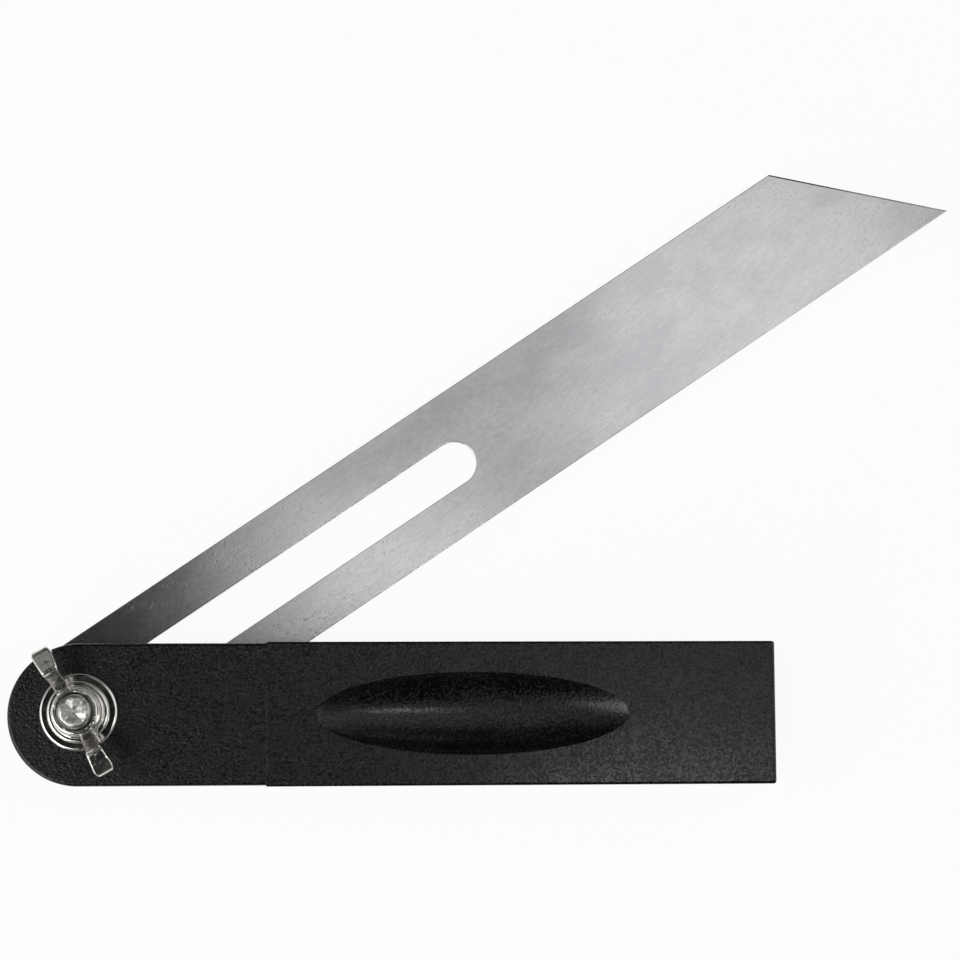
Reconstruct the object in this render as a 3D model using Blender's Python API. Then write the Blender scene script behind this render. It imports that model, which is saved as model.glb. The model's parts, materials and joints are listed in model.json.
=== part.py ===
"""Sliding bevel: a slotted steel blade that turns and slides on a bolt in a moulded handle.

The tool lies on its back with the wing nut up. The bolt's axis is Z, the handle runs along +X and
the working edges face +Y and -Y. Lengths are in metres.
"""

import math

import bmesh
import bpy
from mathutils import Matrix, Vector

# Clearances
RUNNING_GAP = 0.00015  # between flat faces that slide on each other
SEAT_GAP = 0.0001  # under each washer and the nut of the clamping stack
BORE_CLEARANCE = 0.00018  # radial, between the bolt and each plain hole round it
THREAD_CLEARANCE = 0.00014  # radial, between the bolt's thread and the nut's
POCKET_CLEARANCE = 0.00015  # between the bolt's head and the walls of its pocket
OVERRUN = 0.002  # how far each cutter runs past the wall that it cuts

# Bolt, a quarter inch one with a hexagon head sunk in the back of the handle
THREAD_RADIUS = 0.003175
THREAD_PITCH = 0.00127
THREAD_DEPTH = 0.0006
THREADED_LENGTH = 0.0115
HEAD_ACROSS_FLATS = 0.0111
HEAD_LENGTH = 0.0040
HEAD_CHAMFER = 0.0003
BOLT_PROUD = 0.0013  # of the nut's hub when the nut is tight
BOLT_END_CHAMFER = 0.0003
STAKE_DEPTH = 0.0004  # of the cross punched in the bolt's end

# Blade
BLADE_WIDTH = 0.0254
BLADE_THICKNESS = 0.0012
BLADE_REACH = 0.1934  # from the bolt's axis to the long corner of the tip
BLADE_ANGLE = math.radians(34.0)  # opened from the handle
TIP_ANGLE = math.radians(45.0)
SLOT_TRAVEL = 0.0847  # between the centres of the slot's round ends
SLOT_PLAY = 0.00098  # each side of the bolt
BLADE_EDGE_BREAK = 0.00012

# Friction washers, one on each side of the blade
FRICTION_WASHER_RADIUS = 0.0088
FRICTION_WASHER_THICKNESS = 0.0007

# Handle
HANDLE_REACH = 0.1302  # from the bolt's axis to the butt
HANDLE_THICKNESS = 0.0165
HANDLE_EDGE_COVER = 0.0007  # by which half the handle is wider than half the blade
HANDLE_OFFSET = 0.00045  # of the handle's middle line from the bolt's axis, towards its spine
HANDLE_EDGE_RADIUS = 0.0006
BUTT_CORNER_RADIUS = 0.0008
GRIP_STEP = 0.0002  # by which the grip stands proud of the head
GRIP_START = 0.0346  # from the bolt's axis
SPINE_THICKNESS = 0.0020  # of the wall that closes the channel below along the grip
SPINE_SETBACK = 0.0008  # from the grip's start
RECESS_LENGTH = 0.0588
RECESS_WIDTH = 0.0157
RECESS_DEPTH = 0.0028
RECESS_CENTRE = 0.0731  # from the bolt's axis
RECESS_CAP_SHARE = 0.5  # of the half height of the ellipsoid that the recess is a cap of

# Clamping stack on the front face
FACE_WASHER_RADIUS = 0.0072
FACE_WASHER_THICKNESS = 0.0012
NUT_WASHER_RADIUS = 0.0057
NUT_WASHER_THICKNESS = 0.0010
WASHER_EDGE_RADIUS = 0.00035

# Wing nut
HUB_BASE_RADIUS = 0.0049
HUB_TOP_RADIUS = 0.0042
HUB_HEIGHT = 0.0061
HUB_EDGE_RADIUS = 0.0003
HUB_COLLAR_HEIGHT = 0.0009
COUNTERSINK_WIDTH = 0.0004
WING_REACH = 0.0130
WING_HEIGHT = 0.0115
WING_THICKNESS = 0.0038
WING_ANGLE = math.radians(119.2)

# Stations across a wing from hub to tip: reach and height of its top, then of its foot, and its thickness
WING_STATION_SHARES = (
    (0.22, 0.48, 0.22, 0.09, 0.62),
    (0.37, 0.52, 0.38, 0.09, 0.56),
    (0.49, 0.64, 0.51, 0.16, 0.54),
    (0.59, 0.82, 0.66, 0.30, 0.58),
    (0.65, 0.93, 0.75, 0.41, 0.80),
    (0.77, 0.99, 0.85, 0.54, 0.96),
    (0.90, 1.00, 0.93, 0.67, 1.00),
    (0.985, 0.95, 0.99, 0.79, 0.86),
)
WING_SECTION_SHARES = (
    (1.0, 0.0),
    (0.94, 0.78),
    (0.74, 1.0),
    (0.25, 1.0),
    (-0.25, 1.0),
    (-0.74, 1.0),
    (-0.94, 0.78),
    (-1.0, 0.0),
)  # up the section and across it, from the top to the foot on one side

# Faces round each turned shape
HEAD_ARC_STEPS = 36
RIM_STEPS = 3
BLADE_ARC_STEPS = 28
WASHER_STEPS = 48
HUB_STEPS = 40
THREAD_STEPS = 24
THREAD_ROWS = 6  # in each pitch
RECESS_STEPS = 48
RECESS_RINGS = 24

# Sizes that follow from those above
CHANNEL_WIDTH = BLADE_THICKNESS + 2 * FRICTION_WASHER_THICKNESS + 4 * RUNNING_GAP
HANDLE_HALF = BLADE_WIDTH / 2 + HANDLE_EDGE_COVER
HEAD_RADIUS = HANDLE_HALF - GRIP_STEP
HANDLE_LOW, HANDLE_HIGH = -HANDLE_OFFSET - HANDLE_HALF, -HANDLE_OFFSET + HANDLE_HALF
MID_HEIGHT = HANDLE_THICKNESS / 2
FACE_HEIGHT = HANDLE_THICKNESS - GRIP_STEP  # of the head's front face
BOLT_HOLE_RADIUS = THREAD_RADIUS + BORE_CLEARANCE
SLOT_RADIUS = THREAD_RADIUS + SLOT_PLAY
FACE_WASHER_BASE = FACE_HEIGHT + SEAT_GAP
NUT_WASHER_BASE = FACE_WASHER_BASE + FACE_WASHER_THICKNESS + SEAT_GAP
NUT_BASE = NUT_WASHER_BASE + NUT_WASHER_THICKNESS + SEAT_GAP
BOLT_END = NUT_BASE + HUB_HEIGHT + BOLT_PROUD
THREAD_START = BOLT_END - THREADED_LENGTH


def clear_scene():
    for old in list(bpy.data.objects):
        bpy.data.objects.remove(old)


def finish(name, colour, roughness, metallic):
    """A plain surface finish."""
    made = bpy.data.materials.new(name)
    made.use_nodes = True
    shader = made.node_tree.nodes["Principled BSDF"]
    shader.inputs["Base Color"].default_value = (*colour, 1.0)
    shader.inputs["Roughness"].default_value = roughness
    shader.inputs["Metallic"].default_value = metallic
    return made


def place(name, shape, material=None, parent=None):
    """Turns a bmesh into a named object in the scene, shaded smooth but for its sharp edges."""
    mesh = bpy.data.meshes.new(name)
    shape.to_mesh(mesh)
    shape.free()
    mesh.shade_smooth()
    mesh.set_sharp_from_angle(angle=math.radians(35))
    if material:
        mesh.materials.append(material)
    made = bpy.data.objects.new(name, mesh)
    made.parent = parent
    bpy.context.scene.collection.objects.link(made)
    return made


def frame(name, height, angle=0.0, parent=None):
    """An empty on the bolt's axis, which carries the pieces that turn together."""
    made = bpy.data.objects.new(name, None)
    made.location = (0.0, 0.0, height)
    made.rotation_euler = (0.0, 0.0, angle)
    made.parent = parent
    bpy.context.scene.collection.objects.link(made)
    return made


def combine(target, other, operation):
    """Cuts a helper from the target, or joins it on. The helper stays as a guide."""
    other.hide_render = True
    other.display_type = "WIRE"
    step = target.modifiers.new(other.name, "BOOLEAN")
    step.operation = operation
    step.solver = "EXACT"
    step.object = other


def cut(target, *cutters):
    for cutter in cutters:
        combine(target, cutter, "DIFFERENCE")


def join(target, *others):
    for other in others:
        combine(target, other, "UNION")


def loft(rings):
    """A closed solid through rings that all have the same number of points."""
    shape = bmesh.new()
    levels = [[shape.verts.new(point) for point in ring] for ring in rings]
    shape.faces.new(levels[0])
    shape.faces.new(levels[-1])
    for low, high in zip(levels, levels[1:]):
        for index in range(len(low)):
            shape.faces.new((low[index - 1], low[index], high[index], high[index - 1]))
    bmesh.ops.recalc_face_normals(shape, faces=shape.faces)
    return shape


def prism(outline, low, high):
    """An outline of (x, y) points, raised from one height to another."""
    return loft([[Vector((x, y, z)) for x, y in outline] for z in (low, high)])


def turned(profile, steps):
    """A solid of revolution about Z. The profile is a list of (radius, height) from axis to axis."""
    shape = bmesh.new()
    points = [shape.verts.new((radius, 0.0, height)) for radius, height in profile]
    edges = [shape.edges.new(pair) for pair in zip(points, points[1:])]
    if profile[0][0] or profile[-1][0]:
        edges.append(shape.edges.new((points[-1], points[0])))
    bmesh.ops.spin(
        shape,
        geom=points + edges,
        cent=(0.0, 0.0, 0.0),
        axis=(0.0, 0.0, 1.0),
        angle=math.tau,
        steps=steps,
        use_merge=True,
    )
    bmesh.ops.remove_doubles(shape, verts=shape.verts, dist=SEAT_GAP / steps)
    bmesh.ops.recalc_face_normals(shape, faces=shape.faces)
    return shape


def arc(centre, radius, start, end, steps):
    """Points (x, y) along an arc, both ends included."""
    angles = (start + (end - start) * step / steps for step in range(steps + 1))
    return [(centre[0] + radius * math.cos(a), centre[1] + radius * math.sin(a)) for a in angles]


def bevel(shape, edges, radius, segments):
    bmesh.ops.bevel(
        shape,
        geom=edges,
        offset=radius,
        offset_type="OFFSET",
        affect="EDGES",
        segments=segments,
        profile=0.5,
        clamp_overlap=True,
        material=-1,
    )


def ring_washer(name, radius, thickness, material, parent):
    """A washer with rounded rims, standing on its parent's height."""
    hole = BOLT_HOLE_RADIUS
    rounding = min(WASHER_EDGE_RADIUS, thickness / 3)
    rim = arc((radius - rounding, rounding), rounding, -math.pi / 2, 0.0, 3)
    top = arc((radius - rounding, thickness - rounding), rounding, 0.0, math.pi / 2, 3)
    profile = [(hole, 0.0), *rim, *top, (hole, thickness)]
    return place(name, turned(profile, WASHER_STEPS), material, parent)


def thread_ring(height, clearance=0.0, narrowing=0.0, thread=1.0):
    """One level round the bolt's right-hand thread. It is a plain circle where the thread is 0."""
    ring = []
    for step in range(THREAD_STEPS):
        angle = math.tau * step / THREAD_STEPS
        turn = height / THREAD_PITCH - angle / math.tau
        valley = thread * THREAD_DEPTH * (1 - math.cos(math.tau * turn)) / 2
        radius = THREAD_RADIUS - max(valley, narrowing) + clearance
        ring.append(Vector((radius * math.cos(angle), radius * math.sin(angle), height)))
    return ring


def stake_ring(share):
    """A ring in the bolt's end, sunk along the four arms of the punched cross."""
    ring = []
    radius = (THREAD_RADIUS - THREAD_DEPTH / 2 - BOLT_END_CHAMFER) * share
    for step in range(THREAD_STEPS):
        angle = math.tau * step / THREAD_STEPS
        arm = max(0.0, math.cos(4 * angle)) * (1 - share)
        depth = STAKE_DEPTH * max(arm, (1 - share) ** 3)
        ring.append(Vector((radius * math.cos(angle), radius * math.sin(angle), BOLT_END - depth)))
    return ring


def hexagon(across_flats):
    corner = across_flats / 2 / math.cos(math.pi / 6)
    return arc((0.0, 0.0), corner, math.pi / 6, math.tau + math.pi / 6, 6)[:-1]


def make_bolt(material):
    """Hexagon head, plain shank, then a thread up to the staked end."""
    shank_start = HEAD_LENGTH / 2
    rows = math.ceil(THREADED_LENGTH / THREAD_PITCH * THREAD_ROWS)
    heights = [THREAD_START + THREADED_LENGTH * row / rows for row in range(rows)]
    rings = [thread_ring(shank_start, thread=0.0), thread_ring(THREAD_START - THREAD_PITCH / 2, thread=0.0)]
    rings += [thread_ring(height) for height in heights]
    rings.append(thread_ring(BOLT_END - BOLT_END_CHAMFER / 2, narrowing=THREAD_DEPTH / 2))
    rings.append(thread_ring(BOLT_END, narrowing=THREAD_DEPTH / 2 + BOLT_END_CHAMFER, thread=0.0))
    rings += [stake_ring(share) for share in (0.8, 0.5, 0.2)]
    bolt = place("pivot_bolt", loft(rings), material)
    head = prism(hexagon(HEAD_ACROSS_FLATS), 0.0, HEAD_LENGTH)
    outer = [e for e in head.edges if all(v.co.z < HEAD_LENGTH / 2 for v in e.verts)]
    bevel(head, outer, HEAD_CHAMFER, 1)
    join(bolt, place("bolt_head_form", head, material))
    return bolt


def blade_outline():
    """Round at the back, straight along both edges, cut off slantwise at the tip."""
    half = BLADE_WIDTH / 2
    back = arc((0.0, 0.0), half, math.pi / 2, 3 * math.pi / 2, BLADE_ARC_STEPS)
    short_corner = BLADE_REACH - BLADE_WIDTH / math.tan(TIP_ANGLE)
    return back + [(BLADE_REACH, -half), (short_corner, half)]


def slot_outline():
    near = arc((0.0, 0.0), SLOT_RADIUS, math.pi / 2, 3 * math.pi / 2, BLADE_ARC_STEPS // 2)
    far = arc((SLOT_TRAVEL, 0.0), SLOT_RADIUS, -math.pi / 2, math.pi / 2, BLADE_ARC_STEPS // 2)
    return near + far


def make_blade(material, parent):
    half = BLADE_THICKNESS / 2
    blade = place("blade", prism(blade_outline(), -half, half), material, parent)
    slot = prism(slot_outline(), -half - OVERRUN, half + OVERRUN)
    cut(blade, place("slot_cutter", slot, parent=parent))
    rim = blade.modifiers.new("edge_break", "BEVEL")
    rim.width = BLADE_EDGE_BREAK
    rim.segments = 1
    rim.limit_method = "ANGLE"
    rim.angle_limit = math.radians(60)
    return blade


def rounded_slab(outline, low, high):
    """A slab with quarter-round rims. The outline is a function of how far it is drawn in."""
    levels = []
    for step in range(RIM_STEPS + 1):
        angle = math.pi / 2 * step / RIM_STEPS
        drawn_in = HANDLE_EDGE_RADIUS * (1 - math.sin(angle))
        levels.append((outline(drawn_in), HANDLE_EDGE_RADIUS * (1 - math.cos(angle))))
    lower = [[Vector((x, y, low + rise)) for x, y in points] for points, rise in levels]
    upper = [[Vector((x, y, high - rise)) for x, y in points] for points, rise in reversed(levels)]
    return loft(lower + upper)


def head_outline(drawn_in):
    """The handle's round end, running on into the grip."""
    radius, far = HEAD_RADIUS - drawn_in, GRIP_START + OVERRUN
    round_end = arc((0.0, -HANDLE_OFFSET), radius, math.pi / 2, 3 * math.pi / 2, HEAD_ARC_STEPS)
    return [*round_end, (far, -HANDLE_OFFSET - radius), (far, -HANDLE_OFFSET + radius)]


def grip_outline(drawn_in):
    """The straight grip, square at its butt."""
    low, high, corner = HANDLE_LOW + drawn_in, HANDLE_HIGH - drawn_in, BUTT_CORNER_RADIUS - drawn_in
    butt = HANDLE_REACH - BUTT_CORNER_RADIUS
    lower_corner = arc((butt, HANDLE_LOW + BUTT_CORNER_RADIUS), corner, -math.pi / 2, 0.0, RIM_STEPS)
    upper_corner = arc((butt, HANDLE_HIGH - BUTT_CORNER_RADIUS), corner, 0.0, math.pi / 2, RIM_STEPS)
    return [(GRIP_START, high), (GRIP_START, low), *lower_corner, *upper_corner]


def channel_form():
    """The space for the blade: right through the head, and closed below along the grip."""
    back, butt = -HEAD_RADIUS - OVERRUN, HANDLE_REACH + OVERRUN
    below, above = HANDLE_LOW - OVERRUN, HANDLE_HIGH + OVERRUN
    floor, start = HANDLE_LOW + SPINE_THICKNESS, GRIP_START + SPINE_SETBACK
    outline = [(back, below), (start, below), (start, floor), (butt, floor), (butt, above), (back, above)]
    return prism(outline, MID_HEIGHT - CHANNEL_WIDTH / 2, MID_HEIGHT + CHANNEL_WIDTH / 2)


def recess_form(height, side):
    """An ellipsoid whose cap is the finger recess in the face at a height. The side points out of it."""
    half_height = RECESS_DEPTH / RECESS_CAP_SHARE
    widening = 1 / math.sqrt(1 - (1 - RECESS_CAP_SHARE) ** 2)
    shape = bmesh.new()
    bmesh.ops.create_uvsphere(shape, u_segments=RECESS_STEPS, v_segments=RECESS_RINGS, radius=1.0)
    size = Vector((RECESS_LENGTH / 2 * widening, RECESS_WIDTH / 2 * widening, half_height))
    centre = Vector((RECESS_CENTRE, -HANDLE_OFFSET, height + side * (half_height - RECESS_DEPTH)))
    bmesh.ops.transform(shape, matrix=Matrix.LocRotScale(centre, None, size), verts=shape.verts)
    return shape


def make_handle(material):
    handle = place("handle", rounded_slab(head_outline, GRIP_STEP, FACE_HEIGHT), material)
    join(handle, place("grip_form", rounded_slab(grip_outline, 0.0, HANDLE_THICKNESS), material))
    pocket_outline = hexagon(HEAD_ACROSS_FLATS + 2 * POCKET_CLEARANCE)
    pocket = prism(pocket_outline, -OVERRUN, HEAD_LENGTH + POCKET_CLEARANCE)
    hole = turned(
        [
            (0.0, -OVERRUN),
            (BOLT_HOLE_RADIUS, -OVERRUN),
            (BOLT_HOLE_RADIUS, HANDLE_THICKNESS + OVERRUN),
            (0.0, HANDLE_THICKNESS + OVERRUN),
        ],
        WASHER_STEPS,
    )
    cut(
        handle,
        place("channel_cutter", channel_form()),
        place("bolt_pocket_cutter", pocket),
        place("bolt_hole_cutter", hole),
        place("front_recess_cutter", recess_form(HANDLE_THICKNESS, 1)),
        place("back_recess_cutter", recess_form(0.0, -1)),
    )
    return handle


def wing_section(top_reach, top_height, foot_reach, foot_height, thickness):
    """A slab with rounded edges between a top point and a foot point of the wing."""
    top = Vector((top_reach * WING_REACH, 0.0, top_height * WING_HEIGHT))
    foot = Vector((foot_reach * WING_REACH, 0.0, foot_height * WING_HEIGHT))
    middle, half = (top + foot) / 2, (top - foot) / 2
    across = Vector((0.0, thickness * WING_THICKNESS / 2, 0.0))
    one_side = [middle + half * up + across * out for up, out in WING_SECTION_SHARES]
    other_side = [middle + half * up - across * out for up, out in WING_SECTION_SHARES[-2:0:-1]]
    return one_side + other_side


def wing_form(turn):
    shape = loft([wing_section(*station) for station in WING_STATION_SHARES])
    turned_round = Matrix.Rotation(turn, 3, "Z")
    bmesh.ops.rotate(shape, cent=(0.0, 0.0, 0.0), matrix=turned_round, verts=shape.verts)
    return shape


def hub_form():
    """A collar, a waist that narrows upwards, and a rounded top rim."""
    rounding = HUB_EDGE_RADIUS
    collar = HUB_COLLAR_HEIGHT
    profile = [(0.0, 0.0), (HUB_BASE_RADIUS - rounding, 0.0), (HUB_BASE_RADIUS, rounding)]
    profile += [(HUB_BASE_RADIUS, collar - rounding), (HUB_BASE_RADIUS - rounding, collar)]
    profile += arc((HUB_TOP_RADIUS - rounding, HUB_HEIGHT - rounding), rounding, 0.0, math.pi / 2, 3)
    profile.append((0.0, HUB_HEIGHT))
    return turned(profile, HUB_STEPS)


def nut_thread_form():
    """The bolt's own thread, grown by its clearance, in the nut's frame."""
    low, high = -THREAD_PITCH, HUB_HEIGHT + THREAD_PITCH
    rows = math.ceil((high - low) / THREAD_PITCH * THREAD_ROWS)
    heights = [NUT_BASE + low + (high - low) * row / rows for row in range(rows + 1)]
    shape = loft([thread_ring(height, THREAD_CLEARANCE) for height in heights])
    bmesh.ops.translate(shape, vec=(0.0, 0.0, -NUT_BASE), verts=shape.verts)
    turn_back = Matrix.Rotation(-WING_ANGLE, 3, "Z")
    bmesh.ops.rotate(shape, cent=(0.0, 0.0, 0.0), matrix=turn_back, verts=shape.verts)
    return shape


def make_wing_nut(material, parent):
    nut = place("wing_nut", hub_form(), material, parent)
    nut.rotation_euler = (0.0, 0.0, WING_ANGLE)
    forms = []
    for label, turn in (("near", 0.0), ("far", math.pi)):
        wing = place(f"{label}_wing_form", wing_form(turn), material, nut)
        rounding = wing.modifiers.new("rounding", "SUBSURF")
        rounding.levels = rounding.render_levels = 1
        forms.append(wing)
    join(nut, *forms)
    mouth = THREAD_RADIUS + COUNTERSINK_WIDTH
    sink = turned(
        [
            (0.0, HUB_HEIGHT - mouth),
            (mouth + OVERRUN, HUB_HEIGHT + OVERRUN),
            (0.0, HUB_HEIGHT + OVERRUN),
        ],
        HUB_STEPS,
    )
    thread_cutter = place("nut_thread_cutter", nut_thread_form(), parent=nut)
    cut(nut, thread_cutter, place("countersink_cutter", sink, parent=nut))
    return nut


def main():
    clear_scene()
    plastic = finish("black_abs", (0.021, 0.021, 0.020), 0.5, 0.0)
    steel = finish("brushed_steel", (0.62, 0.62, 0.63), 0.35, 1.0)
    nickel = finish("nickel_plate", (0.66, 0.65, 0.62), 0.16, 1.0)
    nylon = finish("black_nylon", (0.03, 0.03, 0.03), 0.6, 0.0)

    make_handle(plastic)
    make_bolt(nickel)
    face = frame("face_washer_seat", FACE_WASHER_BASE)
    ring_washer("face_washer", FACE_WASHER_RADIUS, FACE_WASHER_THICKNESS, nickel, face)

    blade_pivot = frame("blade_pivot", MID_HEIGHT, BLADE_ANGLE)
    make_blade(steel, blade_pivot)
    offset = BLADE_THICKNESS / 2 + RUNNING_GAP
    above = frame("front_friction_seat", offset, parent=blade_pivot)
    below = frame("back_friction_seat", -offset - FRICTION_WASHER_THICKNESS, parent=blade_pivot)
    ring_washer("front_friction_washer", FRICTION_WASHER_RADIUS, FRICTION_WASHER_THICKNESS, nylon, above)
    ring_washer("back_friction_washer", FRICTION_WASHER_RADIUS, FRICTION_WASHER_THICKNESS, nylon, below)

    nut_travel = frame("nut_travel", NUT_WASHER_BASE)
    ring_washer("nut_washer", NUT_WASHER_RADIUS, NUT_WASHER_THICKNESS, nickel, nut_travel)
    nut_turn = frame("nut_turn", NUT_BASE - NUT_WASHER_BASE, parent=nut_travel)
    make_wing_nut(nickel, nut_turn)


main()
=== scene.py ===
"""A sliding bevel dressed for its picture: grained handle, brushed blade, plated hardware, pale studio.

The frame, in metres, has the bolt's axis as Z, the handle along +X and the handle's back at height 0.
"""

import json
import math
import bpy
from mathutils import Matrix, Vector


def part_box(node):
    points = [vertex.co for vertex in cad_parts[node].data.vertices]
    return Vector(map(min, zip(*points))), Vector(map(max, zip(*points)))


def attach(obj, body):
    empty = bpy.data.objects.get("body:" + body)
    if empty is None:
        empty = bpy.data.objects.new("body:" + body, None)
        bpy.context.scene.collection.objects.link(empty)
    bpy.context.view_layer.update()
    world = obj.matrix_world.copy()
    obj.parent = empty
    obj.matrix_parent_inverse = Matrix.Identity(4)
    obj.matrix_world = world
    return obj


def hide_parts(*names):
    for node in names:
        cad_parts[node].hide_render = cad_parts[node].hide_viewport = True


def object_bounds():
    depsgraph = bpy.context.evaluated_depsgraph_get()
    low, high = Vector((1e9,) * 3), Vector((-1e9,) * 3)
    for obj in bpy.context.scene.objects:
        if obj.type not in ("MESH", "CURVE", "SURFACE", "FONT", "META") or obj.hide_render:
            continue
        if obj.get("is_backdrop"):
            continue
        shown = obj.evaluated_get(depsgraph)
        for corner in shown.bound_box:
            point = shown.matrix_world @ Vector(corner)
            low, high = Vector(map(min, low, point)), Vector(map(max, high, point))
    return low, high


bl_info = {
    "name": "Sliding Bevel",
    "version": (1, 0, 0),
    "blender": (4, 5, 0),
    "location": "View3D > Sidebar > Bevel",
    "description": "Models the visible surfaces of a sliding bevel and the studio that it lies in",
    "category": "Object",
}

import bmesh
import bpy
from bpy.props import FloatProperty, FloatVectorProperty, PointerProperty
from mathutils import Matrix, Vector

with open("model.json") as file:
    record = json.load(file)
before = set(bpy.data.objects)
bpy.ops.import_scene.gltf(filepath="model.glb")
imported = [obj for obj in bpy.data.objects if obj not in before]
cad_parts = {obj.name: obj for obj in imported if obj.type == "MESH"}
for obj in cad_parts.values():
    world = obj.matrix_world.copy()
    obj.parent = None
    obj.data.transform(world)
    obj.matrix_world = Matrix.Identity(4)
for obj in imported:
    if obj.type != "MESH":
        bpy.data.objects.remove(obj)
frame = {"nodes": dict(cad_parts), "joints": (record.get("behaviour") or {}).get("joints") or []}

MM = 0.001
TURN = math.tau
UP = Vector((0.0, 0.0, 1.0))
CENTRE = (0.0, 0.0, 0.0)

# How far a cutter overruns what it cuts, how close is flush, how close is one and the same point,
# and the angle in radians past which an edge is sharp
OVERRUN = 2.0 * MM
FLUSH = 0.01 * MM
TINY = 0.001 * MM
SHARP_ANGLE = 1.0

# Sizes read from the frame, with the clearances between its pieces
HANDLE_LOW, HANDLE_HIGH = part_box("handle")
HANDLE_HALF = (HANDLE_HIGH.y - HANDLE_LOW.y) / 2
HANDLE_LINE = (HANDLE_HIGH.y + HANDLE_LOW.y) / 2
HEAD_RADIUS = -HANDLE_LOW.x
THICKNESS = HANDLE_HIGH.z
GRIP_STEP = HANDLE_HALF - HEAD_RADIUS
BLADE_LOW, BLADE_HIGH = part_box("blade")
BLADE_HALF = -BLADE_LOW.x
SLIDE = next(joint for joint in frame["joints"] if joint["name"] == "blade_slide")
BLADE_ALONG = -Vector(SLIDE["axis"]).normalized()
BLADE_ANGLE = math.atan2(BLADE_ALONG.y, BLADE_ALONG.x)
BLADE_REACH = (BLADE_HIGH.x - BLADE_HALF * BLADE_ALONG.y) / BLADE_ALONG.x
SLOT_CLEARANCE = 0.2 * MM
SLOT_TRAVEL = SLIDE["range_m"][1] + SLOT_CLEARANCE
WASHER_CLEARANCE = 0.15 * MM
CHANNEL_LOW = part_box("back_friction_washer")[0].z - WASHER_CLEARANCE
CHANNEL_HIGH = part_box("front_friction_washer")[1].z + WASHER_CLEARANCE
BOLT_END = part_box("pivot_bolt")[1].z
NUT_LOW, NUT_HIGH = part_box("wing_nut")

# Sizes of the handle that the frame's boxes don't give; the washers have the same hole
GRIP_START = 34.6 * MM
SPINE_SETBACK = 0.8 * MM
SPINE_START = GRIP_START + SPINE_SETBACK
SPINE_THICKNESS = 2.0 * MM
BUTT_ROUNDING = 0.5 * MM
LIP_ROUNDING = 0.08 * MM
HOLE_RADIUS = 3.355 * MM
POCKET_FLATS = 11.4 * MM
POCKET_DEPTH = 4.15 * MM

# The finger recess: the arc of its scoop, the radius that its rim flares out with, how far over the face
# the cutter's rim ends, and the steps of each
SCOOP_SWEEP = math.radians(60)
RIM_FLARE = 0.45 * MM
RIM_PROUD = 0.012 * MM
SCOOP_STEPS = 24
FLARE_STEPS = 5
SCOOP_SEGMENTS = 160

# The blade: its slot, the line x + y on which its slanted tip lies, and the slope of the tip's bevel
SLOT_RADIUS = 4.155 * MM
TIP_LINE = BLADE_REACH - BLADE_HALF
TIP_SLOPE = 0.45

# The washers' rolled upper rim and sharp lower one, as shares of their thickness
WASHER_ROLL_SHARE = 0.42
WASHER_NIP_SHARE = 0.18

# The bolt: its head, its thread and the taper of its end
HEAD_FLATS = 11.1 * MM
HEAD_LENGTH = 4.0 * MM
CHAMFER_INSET = 0.2 * MM
CHAMFER_HEIGHT = 0.5 * MM
BOLT_RADIUS = 3.175 * MM
THREAD_PITCH = 1.27 * MM
THREAD_DEPTH = 0.6 * MM
THREAD_LENGTH = 11.5 * MM
THREAD_SETBACK = 0.45 * MM
THREAD_RUNOUT_SHARE = 0.3
THREAD_ROWS = 12
END_RADIUS = 2.95 * MM
END_TAPER = 0.5 * MM
END_RINGS = 15

# The cross punched in the bolt's end: direction, width as a share of the radius and strength of each groove,
# then their depth, how much they skew and fade with their reach, and the rim that is rolled over round them
GROOVES = ((math.radians(52), 0.62, 1.0), (math.radians(136), 0.55, 0.8))
GROOVE_DEPTH = 0.34 * MM
GROOVE_SKEW_SHARE = 0.08
GROOVE_FADE_SHARE = 0.55
ROLL_DROP = 0.242 * MM
ROLL_START_SHARE = 0.78

# The wing nut's hub: its collar, the neck over the collar, its edges, its bore and the bore's wide mouth
COLLAR_HEIGHT = 0.9 * MM
NECK_INSET = 0.4 * MM
NECK_RISE = 0.1 * MM
HUB_ROUNDING = 0.25 * MM
BORE_CLEARANCE = 0.14 * MM
MOUTH_CLEARANCE = 0.4 * MM

# How the nut's forging melts together: the grain of its mesh, its smoothing, and the size of its lumps
VOXEL = 0.11 * MM
SMOOTHING = 0.5
SMOOTHING_PASSES = 3
LUMP_SIZE = 2.2 * MM

# The wings: their direction, then shares of their reach at which they thicken and at which the pad's corners
# are drawn in, and shares of their thickness that are left at the neck and taken off at the corners
WING_ANGLE = math.radians(119.2)
THICKENING_SHARES = (0.4, 0.95)
CORNER_SHARES = (0.9, 1.0)
NECK_SHARE = 0.66
CORNER_LOSS_SHARE = 0.28
# A wing's side outline as shares of its reach and height, from its inner edge over its pad to its foot
WING_OUTLINE_SHARES = (
    (0.15, 0.10),
    (0.15, 0.40),
    (0.29, 0.48),
    (0.38, 0.54),
    (0.47, 0.66),
    (0.55, 0.83),
    (0.61, 0.955),
    (0.64, 0.995),
    (0.68, 1.0),
    (0.94, 0.945),
    (0.98, 0.915),
    (1.0, 0.86),
    (0.995, 0.78),
    (0.90, 0.63),
    (0.75, 0.50),
    (0.60, 0.30),
    (0.47, 0.16),
    (0.33, 0.10),
)

# The camera that matches the photograph's outlines: the point it looks at, level with the handle's face,
# its lean about X, Y and Z, its distance, and its lens and sensor in millimetres
CAMERA_AIM = Vector((74.58 * MM, 43.36 * MM, THICKNESS))
CAMERA_LEAN = (math.radians(-6.089), math.radians(3.706), math.radians(-0.107))
CAMERA_DISTANCE = 470.0 * MM
CAMERA_LENS = 93.39
CAMERA_SENSOR = 36.0

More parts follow.
